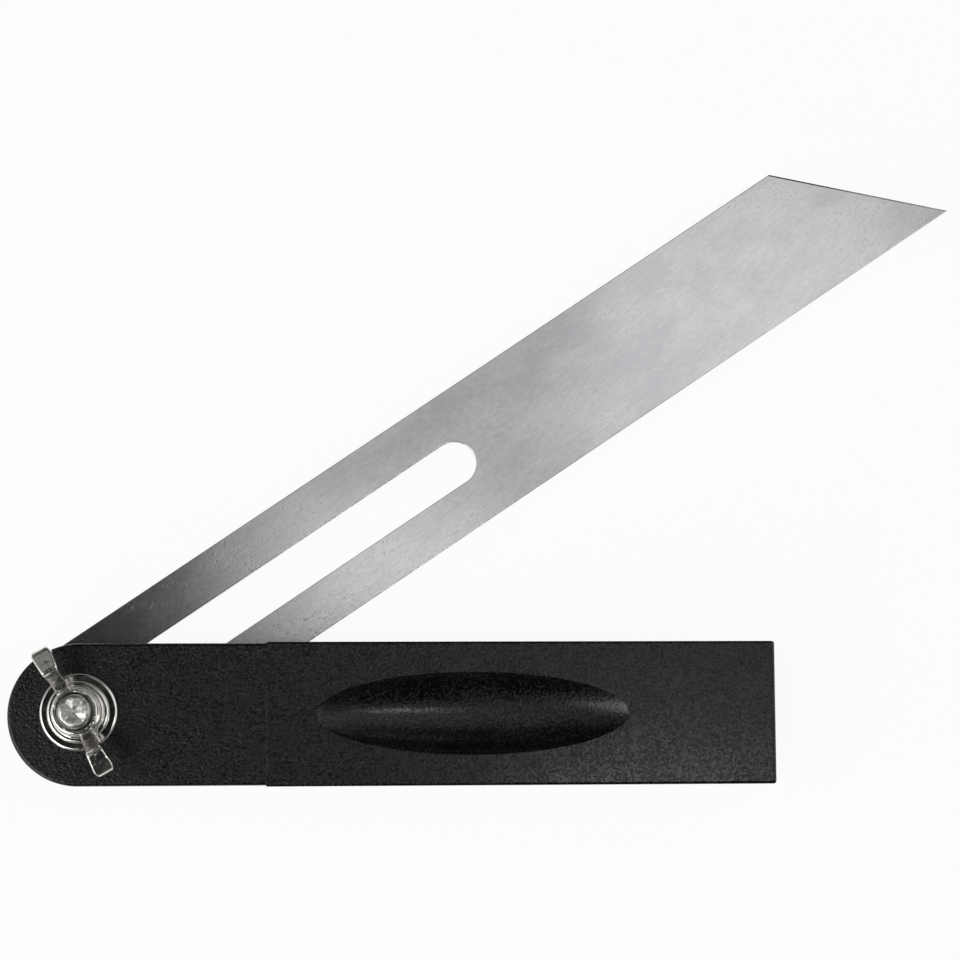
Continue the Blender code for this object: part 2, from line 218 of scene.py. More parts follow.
# Panels that face straight down from the ceiling, each a millimetre under the one before: the reach of each
# along X and Y in metres, and its power in watts
CEILING = 1.0
PANELS = (
    ("main_panel", (-0.025, 0.48), (0.055, 0.42), 0.33),
    ("bright_panel", (0.20, 0.40), (0.145, 0.345), 0.055),
    ("corner_panel", (0.03, 0.16), (0.055, 0.13), 0.018),
    ("grip_panel", (0.24, 0.50), (-0.06, 0.055), 0.045),
    ("highlight_panel", (0.17, 0.31), (-0.13, -0.03), 0.40),
    ("wide_panel", (0.52, 0.85), (-0.05, 0.33), 0.16),
    ("far_panel", (0.15, 0.65), (0.75, 1.15), 0.25),
    ("back_panel", (-0.55, -0.15), (0.15, 0.55), 0.15),
)
# Softboxes that face the tool from a side: azimuth and elevation in degrees, size in metres, power in watts
SOFTBOXES = (
    ("left_softbox", 200.0, 36.0, 1.5, 8.5),
    ("right_softbox", 10.0, 36.0, 1.5, 6.0),
    ("rim_softbox", 235.0, 24.0, 0.25, 1.2),
    ("key_softbox", 213.0, 62.0, 0.55, 3.8),
)
SOFTBOX_DISTANCE = 1.3
SOFTBOX_TARGET = Vector((0.075, 0.03, 0.0))

# The floor's reach and depth under the tool, and how much of what the camera sees of it is plain white
FLOOR_REACH = 4.0
FLOOR_DROP = 0.05 * MM
FLOOR_WHITE_SHARE = 0.94

# The room: its level, the heights from 0 to 1 between which its wall and its pale ends fade out, and how
# bright metal shows them
ROOM_LEVEL = 0.008
WALL_FADE = (0.20, 0.30)
END_FADE = (0.60, 0.84)
WALL_GLOSS_SHARE = 0.12
END_GLOSS_SHARE = 0.40

WHITE = (1.0, 1.0, 1.0, 1.0)


class HandleSettings(bpy.types.PropertyGroup):
    """Sizes and finish of the moulded handle."""

    rounding: FloatProperty(
        name="Edge rounding",
        description="Radius of the handle's long edges",
        default=0.6 * MM,
        unit="LENGTH",
    )
    recess_length: FloatProperty(
        name="Recess length",
        description="Length of the finger recess in each face",
        default=58.8 * MM,
        unit="LENGTH",
    )
    recess_width: FloatProperty(
        name="Recess width",
        description="Width of the finger recess in each face",
        default=15.7 * MM,
        unit="LENGTH",
    )
    recess_depth: FloatProperty(
        name="Recess depth",
        description="Depth of the finger recess in each face",
        default=2.8 * MM,
        unit="LENGTH",
    )
    recess_centre: FloatProperty(
        name="Recess place",
        description="Distance of the recess from the bolt",
        default=73.1 * MM,
        unit="LENGTH",
    )
    colour: FloatVectorProperty(
        name="Plastic colour",
        description="Colour of the black plastic",
        default=(0.0019, 0.0019, 0.0018),
        subtype="COLOR",
        size=3,
        min=0.0,
        max=1.0,
    )
    grain_depth: FloatProperty(
        name="Grain depth",
        description="Height of the pebbled grain moulded into the plastic",
        default=0.13 * MM,
        unit="LENGTH",
    )


class BladeSettings(bpy.types.PropertyGroup):
    """Sizes and finish of the steel blade."""

    edge_break: FloatProperty(
        name="Edge break",
        description="Width of the small bevel along the blade's edges",
        default=0.12 * MM,
        unit="LENGTH",
    )
    tip_bevel: FloatProperty(
        name="Tip bevel",
        description="Width of the ground bevel along the slanted tip",
        default=0.3 * MM,
        unit="LENGTH",
    )
    colour: FloatVectorProperty(
        name="Steel colour",
        description="Colour of the bare steel",
        default=(0.60, 0.60, 0.61),
        subtype="COLOR",
        size=3,
        min=0.0,
        max=1.0,
    )


class HardwareSettings(bpy.types.PropertyGroup):
    """Sizes and finish of the bolt, washers and wing nut."""

    hub_base_radius: FloatProperty(
        name="Hub base radius",
        description="Radius of the wing nut's collar",
        default=4.9 * MM,
        unit="LENGTH",
    )
    hub_top_radius: FloatProperty(
        name="Hub top radius",
        description="Radius of the wing nut's hub at its top",
        default=4.2 * MM,
        unit="LENGTH",
    )
    hub_height: FloatProperty(
        name="Hub height",
        description="Height of the wing nut's hub",
        default=6.1 * MM,
        unit="LENGTH",
    )
    wing_reach: FloatProperty(
        name="Wing reach",
        description="Distance of a wing's end from the bolt's axis",
        default=12.7 * MM,
        unit="LENGTH",
    )
    wing_thickness: FloatProperty(
        name="Wing thickness",
        description="Thickness of a wing's outer end",
        default=3.8 * MM,
        unit="LENGTH",
    )
    forging_depth: FloatProperty(
        name="Forging depth",
        description="Height of the lumps left on the nut by its forging",
        default=0.14 * MM,
        unit="LENGTH",
    )
    wing_rounding: FloatProperty(
        name="Wing rounding",
        description="Radius along a wing's rims",
        default=0.22 * MM,
        unit="LENGTH",
    )
    colour: FloatVectorProperty(
        name="Plate colour",
        description="Colour of the nickel plate",
        default=(0.66, 0.65, 0.62),
        subtype="COLOR",
        size=3,
        min=0.0,
        max=1.0,
    )


class StudioSettings(bpy.types.PropertyGroup):
    """The light of the picture."""

    level: FloatProperty(
        name="Light level",
        description="Factor on every lamp",
        default=1.0,
        min=0.0,
    )
    floor_colour: FloatVectorProperty(
        name="Floor colour",
        description="Colour of the plain floor",
        default=(0.93, 0.93, 0.93),
        subtype="COLOR",
        size=3,
        min=0.0,
        max=1.0,
    )


class Value:
    """An output of a node, which takes part in sums as a number does."""

    def __init__(self, graph, socket):
        self.graph = graph
        self.socket = socket

    def _sum(self, operation, first, second):
        return self.graph.add("ShaderNodeMath", {"operation": operation}, {0: first, 1: second})

    def __add__(self, other):
        return self._sum("ADD", self, other)

    def __radd__(self, other):
        return self._sum("ADD", other, self)

    def __sub__(self, other):
        return self._sum("SUBTRACT", self, other)

    def __rsub__(self, other):
        return self._sum("SUBTRACT", other, self)

    def __mul__(self, other):
        return self._sum("MULTIPLY", self, other)

    def __rmul__(self, other):
        return self._sum("MULTIPLY", other, self)

    def __truediv__(self, other):
        return self._sum("DIVIDE", self, other)


class Graph:
    """The nodes of a material or a world, written as sums of their outputs."""

    def __init__(self, owner):
        owner.use_nodes = True
        self.nodes = owner.node_tree.nodes
        self.links = owner.node_tree.links

    def add(self, kind, settings=None, inputs=None, output=0):
        """Adds a node with its settings, then the values or links of its sockets, and gives one output."""
        node = self.nodes.new(kind)
        for name, value in (settings or {}).items():
            if name == "stops":
                self._set_stops(node.color_ramp, value)
            else:
                setattr(node, name, value)
        self.feed(node, inputs or {})
        return Value(self, node.outputs[output])

    def feed(self, node, inputs):
        for name, value in inputs.items():
            if isinstance(value, Value):
                self.links.new(value.socket, node.inputs[name])
            else:
                node.inputs[name].default_value = value

    @staticmethod
    def _set_stops(ramp, stops):
        while len(ramp.elements) < len(stops):
            ramp.elements.new(1.0)
        for element, (position, level) in zip(ramp.elements, stops):
            element.position = position
            element.color = (level, level, level, 1.0)

    def seen_by(self, ray):
        """1 for that kind of ray, and 0 for the others."""
        return self.add("ShaderNodeLightPath", output=f"Is {ray} Ray")


class Surface(Graph):
    """A material whose patterns are laid out in the object's own coordinates."""

    def __init__(self, name):
        self.material = bpy.data.materials.new(name)
        super().__init__(self.material)
        self.shader = self.nodes["Principled BSDF"]
        self.place = self.add("ShaderNodeTexCoord", output="Object")

    def mapped(self, scale, turn=0.0, shift=CENTRE):
        """Object coordinates turned about Z and scaled to so many features a metre, one count or three."""
        turned = self.add(
            "ShaderNodeMapping",
            {"vector_type": "POINT"},
            {"Vector": self.place, "Rotation": (0.0, 0.0, -turn), "Location": shift},
        )
        counts = scale if isinstance(scale, tuple) else (scale, scale, scale)
        return self.add("ShaderNodeVectorMath", {"operation": "MULTIPLY"}, {0: turned, 1: counts})

    def noise(self, scale, detail=2.0, roughness=0.5, turn=0.0, shift=CENTRE):
        vector = self.mapped(scale, turn, shift)
        inputs = {"Vector": vector, "Scale": 1.0, "Detail": detail, "Roughness": roughness}
        return self.add("ShaderNodeTexNoise", None, inputs)

    def cells(self, scale):
        return self.add("ShaderNodeTexVoronoi", None, {"Vector": self.mapped(scale), "Scale": 1.0})

    def ramp(self, value, *stops):
        return self.add("ShaderNodeValToRGB", {"stops": stops}, {0: value})

    def tint(self, amount, low, high):
        """A colour between two others."""
        colours = {0: amount, 6: (*low, 1.0), 7: (*high, 1.0)}
        return self.add("ShaderNodeMix", {"data_type": "RGBA"}, colours, 2)

    def bump(self, height, depth, strength=1.0):
        return self.add("ShaderNodeBump", None, {"Height": height, "Distance": depth, "Strength": strength})

    def finish(self, **inputs):
        self.feed(self.shader, {name.replace("_", " "): value for name, value in inputs.items()})
        return self.material


def toned(colour, *shares):
    """A colour with its channels scaled, all by one share or each by its own."""
    return tuple(channel * share for channel, share in zip(colour, shares * (3 // len(shares))))


def black_plastic(name, settings):
    """Moulded black plastic: a fine pebbled grain with glossy tops, faint scuffs and specks of dust."""
    plastic = Surface(name)
    lumps = plastic.noise(2100.0, 1.5)
    grain = plastic.noise(3300.0, 1.0, turn=0.4)
    waves = plastic.noise(150.0, 3.0, 0.6)
    scratches = plastic.noise((55.0, 420.0, 420.0), 4.0, 0.65, turn=0.5)
    scuffs = plastic.ramp(scratches, (0.56, 0.0), (0.74, 1.0))
    specks = plastic.ramp(plastic.noise(3100.0, 1.0), (0.62, 0.0), (0.78, 1.0))
    height = lumps * 0.75 + grain * 0.25
    tops = plastic.ramp(height * 0.85 + waves * 0.15, (0.47, 0.0), (0.60, 1.0))
    dust = specks * 0.5 + scuffs * 0.12 + waves * 0.25
    return plastic.finish(
        Base_Color=plastic.tint(dust, toned(settings.colour, 0.75), toned(settings.colour, 3.0)),
        Roughness=0.12 + tops * 0.46 + waves * 0.06 - scuffs * 0.05,
        Normal=plastic.bump(height, settings.grain_depth),
        Specular_IOR_Level=0.24,
        Coat_Weight=0.18 + tops * 0.82,
        Coat_Roughness=0.17,
        Coat_IOR=1.37,
    )


def brushed_steel(name, settings):
    """Ground sheet steel: short faint strokes along it, mottling, cloudy patches and scattered dings."""
    steel = Surface(name)
    turn = BLADE_ANGLE
    strokes = steel.noise((420.0, 4200.0, 4200.0), 2.0, 0.6, turn)
    mottle = steel.noise((900.0, 1500.0, 1500.0), 3.0, 0.65, turn, (0.3, 0.2, 0.0))
    patches = steel.noise((110.0, 190.0, 190.0), 4.0, 0.6, turn, (0.7, 0.1, 0.0))
    clouds = steel.noise((30.0, 48.0, 48.0), 3.0, 0.55, turn, (0.1, 0.5, 0.0))
    nicks = steel.noise((1300.0, 2400.0, 2400.0), 1.5, 0.5, turn + 0.3, (0.9, 0.4, 0.0))
    worn = steel.ramp(patches * 0.7 + clouds * 0.3, (0.46, 0.1), (0.60, 1.0))
    dings = steel.ramp(nicks, (0.58, 0.0), (0.74, 1.0)) * worn
    height = mottle * 0.35 + strokes * 0.25 - dings * 0.8
    tone = strokes * 0.20 + mottle * 0.22 + patches * 0.30 + clouds * 0.28
    cool, warm = toned(settings.colour, 0.88, 0.885, 0.90), toned(settings.colour, 1.10, 1.095, 1.07)
    return steel.finish(
        Base_Color=steel.tint(steel.ramp(tone, (0.42, 0.0), (0.58, 1.0)), cool, warm),
        Roughness=0.10 + clouds * 0.04 + mottle * 0.03 + dings * 0.05,
        Normal=steel.bump(height, 0.006 * MM),
        Metallic=1.0,
    )


def plated(name, settings, brightness, depth, roughness):
    """Plated steel with soft dimples as deep as given, fine scratches, pits and a little tarnish."""
    nickel = Surface(name)
    dents = nickel.noise(420.0)
    peel = nickel.noise(1900.0, 2.0, 0.6)
    scratches = nickel.noise((900.0, 9000.0, 2500.0), turn=0.6)
    tarnish = nickel.ramp(nickel.noise(260.0, 4.0, 0.65), (0.42, 0.0), (0.75, 1.0))
    pits = nickel.ramp(nickel.cells(1100.0), (0.0, 1.0), (0.16, 0.0))
    height = dents + peel * 0.22 + scratches * 0.05 - pits * 0.12
    colour = toned(settings.colour, brightness)
    return nickel.finish(
        Base_Color=nickel.tint(tarnish * 0.7 + pits * 0.3, colour, toned(colour, 0.66, 0.64, 0.54)),
        Roughness=roughness + tarnish * 0.10 + scratches * 0.06 + pits * 0.15,
        Normal=nickel.bump(height, depth, 0.8),
        Metallic=1.0,
    )


def washer_plate(name, settings):
    """The bright plate of the washers."""
    return plated(name, settings, brightness=1.0, depth=0.02 * MM, roughness=0.05)


def nut_plate(name, settings):
    """The nut's plate, duller and more uneven over the rough forging."""
    return plated(name, settings, brightness=0.92, depth=0.07 * MM, roughness=0.11)


def bolt_plate(name, settings):
    """The bolt's plate, dulled where its end was struck."""
    return plated(name, settings, brightness=0.60, depth=0.30 * MM, roughness=0.26)


def black_nylon(name):
    """Punched nylon sheet, slightly mottled, with a fine tooth."""
    nylon = Surface(name)
    tooth = nylon.noise(2400.0, 3.0, 0.6)
    mottle = nylon.noise(300.0, 3.0)
    return nylon.finish(
        Base_Color=nylon.tint(mottle, (0.018, 0.018, 0.018), (0.05, 0.05, 0.048)),
        Roughness=0.5 + mottle * 0.2,
        Normal=nylon.bump(tooth, 0.02 * MM, 0.6),
    )


def finish_of(name, maker, *settings):
    """The finish of that name, made on its first use."""
    return bpy.data.materials.get(name) or maker(name, *settings)


def add_object(name, shape):
    """Puts a bmesh in the scene as an object at the origin."""
    mesh = bpy.data.meshes.new(name)
    shape.to_mesh(mesh)
    shape.free()
    made = bpy.data.objects.new(name, mesh)
    bpy.context.scene.collection.objects.link(made)
    return made


def bake(piece):
    """Applies a piece's modifiers and takes away the helpers that they used."""
    helpers = [step.object for step in piece.modifiers if step.type == "BOOLEAN"]
    bpy.context.view_layer.update()
    graph = bpy.context.evaluated_depsgraph_get()
    mesh = bpy.data.meshes.new_from_object(piece.evaluated_get(graph))
    piece.modifiers.clear()
    old, piece.data = piece.data, mesh
    bpy.data.meshes.remove(old)
    mesh.name = piece.name
    for helper in helpers:
        bpy.data.objects.remove(helper)


def combine(piece, operation, *helpers):
    for helper in helpers:
        step = piece.modifiers.new(helper.name, "BOOLEAN")
        step.operation = operation
        step.solver = "EXACT"
        step.object = helper


def smooth(piece, sharp_degrees):
    """Smooth shading, with the flat faces kept flat beside narrow roundings."""
    piece.data.shade_smooth()
    piece.data.set_sharp_from_angle(angle=math.radians(sharp_degrees))
    weighted = piece.modifiers.new("flat_faces", "WEIGHTED_NORMAL")
    weighted.keep_sharp = True
    weighted.weight = 80


def dress(piece, material, body, node):
    """Gives a piece its finish and the body it moves with, in place of a CAD node."""
    piece.data.materials.clear()
    piece.data.materials.append(material)
    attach(piece, body)
    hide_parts(node)


def rise(edge):
    """How far an edge climbs."""
    return abs(edge.verts[0].co.z - edge.verts[1].co.z)


def level_edges(shape, wanted=lambda edge: True):
    """The edges that lie level, such as the rims of a slab."""
    return [edge for edge in shape.edges if rise(edge) < FLUSH and wanted(edge)]


def is_sharp(edge):
    return edge.calc_face_angle() > SHARP_ANGLE


def round_off(shape, edges, radius, segments):
    bmesh.ops.bevel(
        shape,
        geom=edges,
        offset=radius,
        offset_type="OFFSET",
        affect="EDGES",
        segments=segments,
        profile=0.5,
        clamp_overlap=False,
        material=-1,
    )


def chain(shape, *verts):
    """Joins points one after the other."""
    return [shape.edges.new(pair) for pair in zip(verts, verts[1:])]


def half_turn(shape, start, centre, steps):
    """Spins a point through half a turn into a chain of edges, and gives the points at its two ends."""
    vert = shape.verts.new(start)
    spun = bmesh.ops.spin(
        shape, geom=[vert], cent=centre, axis=UP, angle=math.pi, steps=steps, use_merge=False
    )
    return vert, spun["geom_last"][0]


def raise_slab(shape, low, high):
    """Fills the closed chain of edges in a bmesh and raises the face from one height to another."""
    bmesh.ops.contextual_create(shape, geom=shape.edges[:])
    bmesh.ops.translate(shape, vec=(0.0, 0.0, low), verts=shape.verts)
    grown = bmesh.ops.extrude_face_region(shape, geom=shape.faces[:])
    risen = [item for item in grown["geom"] if isinstance(item, bmesh.types.BMVert)]
    bmesh.ops.translate(shape, vec=(0.0, 0.0, high - low), verts=risen)
    bmesh.ops.recalc_face_normals(shape, faces=shape.faces)
    return shape


def box(low, high):
    shape = bmesh.new()
    bmesh.ops.create_cube(shape, size=1.0)
    low, high = Vector(low), Vector(high)
    place = Matrix.LocRotScale((low + high) / 2, None, high - low)
    bmesh.ops.transform(shape, matrix=place, verts=shape.verts)
    return shape


def turned(profile, steps):
    """Spins a chain of (radius, height) points about the bolt's axis."""
    shape = bmesh.new()
    verts = [shape.verts.new((radius, 0.0, height)) for radius, height in profile]
    edges = chain(shape, *verts)
    if min(profile[0][0], profile[-1][0]) > 0.0:
        edges.append(shape.edges.new((verts[-1], verts[0])))
    bmesh.ops.spin(
        shape, geom=verts + edges, cent=CENTRE, axis=UP, angle=TURN, steps=steps, use_merge=True
    )
    bmesh.ops.remove_doubles(shape, verts=shape.verts, dist=TINY)
    bmesh.ops.recalc_face_normals(shape, faces=shape.faces)
    return shape


def quarter(centre, radius, start, steps=6):
    """Points on a quarter circle, anticlockwise from a start angle in quarter turns."""
    angles = (math.pi / 2 * (start + step / steps) for step in range(steps + 1))
    return [(centre[0] + radius * math.cos(angle), centre[1] + radius * math.sin(angle)) for angle in angles]


def corner_radius(flats):
    """The reach of a hexagon's corners for its width across flats."""
    return flats / 2 / math.cos(math.pi / 6)


def hexagonal(flats, low, high):
    shape = bmesh.new()
    bmesh.ops.create_circle(shape, cap_ends=False, segments=6, radius=corner_radius(flats))
    return raise_slab(shape, low, high)


def handle_head(settings):
    """The handle's head: half round about the bolt, and square where it goes into the grip."""
    shape = bmesh.new()
    first, last = half_turn(shape, (0.0, HEAD_RADIUS, 0.0), CENTRE, 96)
    far = GRIP_START + OVERRUN
    corners = [shape.verts.new((far, side * HEAD_RADIUS, 0.0)) for side in (-1.0, 1.0)]
    chain(shape, last, *corners, first)
    raise_slab(shape, GRIP_STEP, THICKNESS - GRIP_STEP)
    rims = level_edges(shape, lambda edge: min(vert.co.x for vert in edge.verts) < GRIP_START)
    round_off(shape, rims, settings.rounding, 5)
    bmesh.ops.translate(shape, vec=(0.0, HANDLE_LINE, 0.0), verts=shape.verts)
    return shape


def handle_grip(settings):
    """The grip: rounded at its butt and long edges, with a slight lip where it stands proud of the head."""
    shape = box((GRIP_START, HANDLE_LOW.y, 0.0), HANDLE_HIGH)
    butt = HANDLE_HIGH.x - OVERRUN
    uprights = (edge for edge in shape.edges if rise(edge) > MM)
    corners = [edge for edge in uprights if all(vert.co.x > butt for vert in edge.verts)]
    round_off(shape, corners, BUTT_ROUNDING, 5)
    lips = level_edges(shape, lambda edge: all(vert.co.x < SPINE_START for vert in edge.verts))
    round_off(shape, lips, LIP_ROUNDING, 2)
    rims = []
    for edge in level_edges(shape, lambda edge: any(vert.co.x > butt for vert in edge.verts)):
        height = edge.verts[0].co.z
        if min(abs(height), abs(height - THICKNESS)) < FLUSH:
            rims.append(edge)
    round_off(shape, rims, settings.rounding, 5)
    return shape


def recess_cutter(settings, height, side):
    """An elliptical scoop whose rim flares, so that the recess's edge comes out softly rounded.

    It starts as a round one of reach 1 and depth 1, with a ring for each step of the flare and a lid at
    height 1. Each of its points then gets its place from the slope of the scoop in its direction.
    """
    full = 1 - math.cos(SCOOP_SWEEP)
    profile = []
    for step in range(SCOOP_STEPS + 1):
        angle = SCOOP_SWEEP * step / SCOOP_STEPS
        depth = (math.cos(angle) - math.cos(SCOOP_SWEEP)) / full
        profile.append((math.sin(angle) / math.sin(SCOOP_SWEEP), -depth))
    profile += [(1.0 + step, 0.0) for step in range(1, FLARE_STEPS + 1)]
    shape = turned([*profile, (1.0 + FLARE_STEPS, 1.0), (0.0, 1.0)], SCOOP_SEGMENTS)
    rim_slope = math.sin(SCOOP_SWEEP) * math.tan(SCOOP_SWEEP) / full * settings.recess_depth
    half_length, half_width = settings.recess_length / 2, settings.recess_width / 2
    for vert in shape.verts:
        reach = math.hypot(vert.co.x, vert.co.y)
        across = Vector((vert.co.x, vert.co.y, 0.0)).normalized()
        steep = math.atan(rim_slope * math.hypot(across.x / half_length, across.y / half_width))
        rim_drop = RIM_FLARE * (1 - math.cos(steep)) - RIM_PROUD
        inset = RIM_FLARE * math.sin(steep)
        past = reach - 1.0
        if past <= TINY and vert.co.z <= TINY:
            out, lift = 0.0, vert.co.z * (settings.recess_depth - rim_drop) - rim_drop
        else:
            slope = steep * (1 - min(past, FLARE_STEPS) / FLARE_STEPS)
            out = RIM_FLARE * (math.sin(steep) - math.sin(slope))
            lift = RIM_FLARE * (math.cos(slope) - math.cos(steep)) - rim_drop
            lift += OVERRUN if vert.co.z > TINY else 0.0
        scale = min(reach, 1.0)
        x, y = (half_length - inset) * scale + out, (half_width - inset) * scale + out
        vert.co = Vector((across.x * x, across.y * y, lift))
    bmesh.ops.scale(shape, vec=(1.0, 1.0, side), verts=shape.verts)
    bmesh.ops.translate(shape, vec=(settings.recess_centre, HANDLE_LINE, height), verts=shape.verts)
    bmesh.ops.recalc_face_normals(shape, faces=shape.faces)
    return shape


def channel_cutter():
    """The blade's channel: right through the head, and down to the spine along the grip."""
    below, above = HANDLE_LOW.y - OVERRUN, HANDLE_HIGH.y + OVERRUN
    floor = HANDLE_LOW.y + SPINE_THICKNESS
    back, butt = -HEAD_RADIUS - OVERRUN, HANDLE_HIGH.x + OVERRUN
    shape = bmesh.new()
    outline = (
        (back, below),
        (SPINE_START, below),
        (SPINE_START, floor),
        (butt, floor),
        (butt, above),
        (back, above),
    )
    verts = [shape.verts.new((x, y, 0.0)) for x, y in outline]
    chain(shape, *verts, verts[0])
    return raise_slab(shape, CHANNEL_LOW, CHANNEL_HIGH)


def make_handle(settings):
    handle = add_object("handle_moulding", handle_head(settings))
    combine(handle, "UNION", add_object("grip", handle_grip(settings)))
    low, high = -OVERRUN, 2 * THICKNESS
    hole = turned([(0.0, low), (HOLE_RADIUS, low), (HOLE_RADIUS, high), (0.0, high)], 96)
    combine(
        handle,
        "DIFFERENCE",
        add_object("channel", channel_cutter()),
        add_object("bolt_hole", hole),
        add_object("bolt_pocket", hexagonal(POCKET_FLATS, -OVERRUN, POCKET_DEPTH)),
        add_object("front_recess", recess_cutter(settings, THICKNESS, 1.0)),
        add_object("back_recess", recess_cutter(settings, 0.0, -1.0)),
    )
    bake(handle)
    smooth(handle, 35.0)
    return handle


def blade_blank(low, high):
    """The blade's outline in its own frame: round at the back, cut at forty-five degrees at the tip."""
    shape = bmesh.new()
    first, last = half_turn(shape, (0.0, BLADE_HALF, 0.0), CENTRE, 96)
    long_corner = shape.verts.new((BLADE_REACH, -BLADE_HALF, 0.0))
    short_corner = shape.verts.new((BLADE_REACH - 2 * BLADE_HALF, BLADE_HALF, 0.0))
    chain(shape, last, long_corner, short_corner, first)
    return raise_slab(shape, low, high)


def slot_cutter(low, high):
    shape = bmesh.new()
    near = half_turn(shape, (0.0, SLOT_RADIUS, 0.0), CENTRE, 48)
    far = half_turn(shape, (SLOT_TRAVEL, -SLOT_RADIUS, 0.0), (SLOT_TRAVEL, 0.0, 0.0), 48)
    chain(shape, near[1], far[0])
    chain(shape, far[1], near[0])
    return raise_slab(shape, low - OVERRUN, high + OVERRUN)


def grind_tip(shape, width):
    """Makes the tip's bevel shallow, as a grinding wheel leaves it."""
    low, high = BLADE_LOW.z, BLADE_HIGH.z
    for vert in shape.verts:
        inside = min(vert.co.z - low, high - vert.co.z) > width / 2
        if inside and abs(vert.co.x + vert.co.y - TIP_LINE) < FLUSH:
            outward = 1.0 if vert.co.z > (low + high) / 2 else -1.0
            vert.co.z += outward * width * (1 - TIP_SLOPE)


def make_blade(settings):
    """The blade, with its tip ground to a small bevel and its other edges just broken."""
    low, high = BLADE_LOW.z, BLADE_HIGH.z
    blade = add_object("blade_steel", blade_blank(low, high))
    combine(blade, "DIFFERENCE", add_object("slot", slot_cutter(low, high)))
    bake(blade)
    shape = bmesh.new()
    shape.from_mesh(blade.data)
    before_tip = BLADE_REACH - 2 * BLADE_HALF - MM
    at_tip = level_edges(shape, lambda edge: all(vert.co.x > before_tip for vert in edge.verts))
    round_off(shape, [edge for edge in at_tip if is_sharp(edge)], settings.tip_bevel, 1)
    grind_tip(shape, settings.tip_bevel)
    round_off(shape, level_edges(shape, is_sharp), settings.edge_break, 2)
    turn = Matrix.Rotation(BLADE_ANGLE, 3, "Z")
    bmesh.ops.rotate(shape, cent=CENTRE, matrix=turn, verts=shape.verts)
    shape.to_mesh(blade.data)
    shape.free()
    smooth(blade, 50.0)
    return blade


def make_washer(name, node):
    """A stamped washer: rolled over at its upper rim and sharp at its lower one."""
    low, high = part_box(node)
    radius, base, top = high.x, low.z, high.z
    roll, nip = (top - base) * WASHER_ROLL_SHARE, (top - base) * WASHER_NIP_SHARE
    profile = [(HOLE_RADIUS, base), *quarter((radius - nip, base + nip), nip, -1, 3)]
    profile += quarter((radius - roll, top - roll), roll, 0)
    profile += [(HOLE_RADIUS + roll / 2, top), (HOLE_RADIUS, top - roll / 2)]
    washer = add_object(name, turned(profile, 144))
    smooth(washer, 50.0)
    return washer


def thread_depth(angle, height, low, high):
    """How far the thread's valley lies inside the bolt's radius, fading out towards the thread's two ends."""
    if not low < height < high:
        return 0.0
    fade = min(1.0, (height - low) / THREAD_PITCH, (high - height) / (THREAD_RUNOUT_SHARE * THREAD_PITCH))
    wave = (1 - math.cos(TURN * (height / THREAD_PITCH - angle / TURN))) / 2
    return THREAD_DEPTH * fade * wave


def punched(x, y):
    """How deep the bolt's end is punched: crossed grooves, struck a little off square, and a rolled rim."""
    reach = math.hypot(x, y) / BOLT_RADIUS
    depth = 0.0
    for angle, width, strength in GROOVES:
        along = x * math.cos(angle) + y * math.sin(angle)
        off = abs(y * math.cos(angle) - x * math.sin(angle) + GROOVE_SKEW_SHARE * along) / BOLT_RADIUS
        depth = max(depth, strength * (1 - off / width) * (1 - GROOVE_FADE_SHARE * reach))
    rolled = max(0.0, reach - ROLL_START_SHARE) / (1 - ROLL_START_SHARE)
    return GROOVE_DEPTH * depth + ROLL_DROP * rolled ** 2


def bolt_shank():
    """The shank with its thread, its tapered end and the punched cross, from inside the head upwards."""
    foot, end = HEAD_LENGTH / 2, BOLT_END
    shape = bmesh.new()
    bmesh.ops.create_cone(
        shape, cap_ends=True, segments=96, radius1=BOLT_RADIUS, radius2=BOLT_RADIUS, depth=end - foot
    )
    bmesh.ops.translate(shape, vec=(0.0, 0.0, (end + foot) / 2), verts=shape.verts)
    rows = round((end - foot) / THREAD_PITCH * THREAD_ROWS)
    uprights = [edge for edge in shape.edges if rise(edge) > MM]
    bmesh.ops.subdivide_edges(shape, edges=uprights, cuts=rows - 1, use_grid_fill=True)
    caps = (face for face in shape.faces if len(face.verts) > 4)
    cap = max(caps, key=lambda face: face.calc_center_median().z)
    for ring in range(1, END_RINGS):
        bmesh.ops.inset_region(shape, faces=[cap], thickness=BOLT_RADIUS / END_RINGS)
    low, high = end - THREAD_LENGTH, end - THREAD_SETBACK
    for vert in shape.verts:
        x, y, height = vert.co
        if height > end - TINY:
            shrink = END_RADIUS / BOLT_RADIUS
            vert.co = Vector((x * shrink, y * shrink, height - punched(x, y)))
        else:
            radius = BOLT_RADIUS - thread_depth(math.atan2(y, x), height, low, high)
            radius -= (BOLT_RADIUS - END_RADIUS) * max(0.0, 1 - (end - height) / END_TAPER)
            reach = math.hypot(x, y)
            vert.co = Vector((x / reach * radius, y / reach * radius, height))
    return shape


def make_bolt():
    """The bolt: a hexagon head whose outer corners are chamfered, and the shank that rises from it."""
    head = add_object("bolt_head", hexagonal(HEAD_FLATS, 0.0, HEAD_LENGTH))
    top, corner = HEAD_LENGTH + OVERRUN, corner_radius(HEAD_FLATS)
    cone = [(0.0, 0.0), (HEAD_FLATS / 2 - CHAMFER_INSET, 0.0), (corner, CHAMFER_HEIGHT)]
    combine(head, "INTERSECT", add_object("chamfer", turned([*cone, (corner, top), (0.0, top)], 144)))
    bake(head)
    bolt = add_object("bolt_plated", bolt_shank())
    combine(bolt, "UNION", head)
    bake(bolt)
    smooth(bolt, 32.0)
    return bolt


def climbed(share, start, end):
    """How far a share has come from a start to an end, from 0 to 1."""
    return min(1.0, max(0.0, (share - start) / (end - start)))


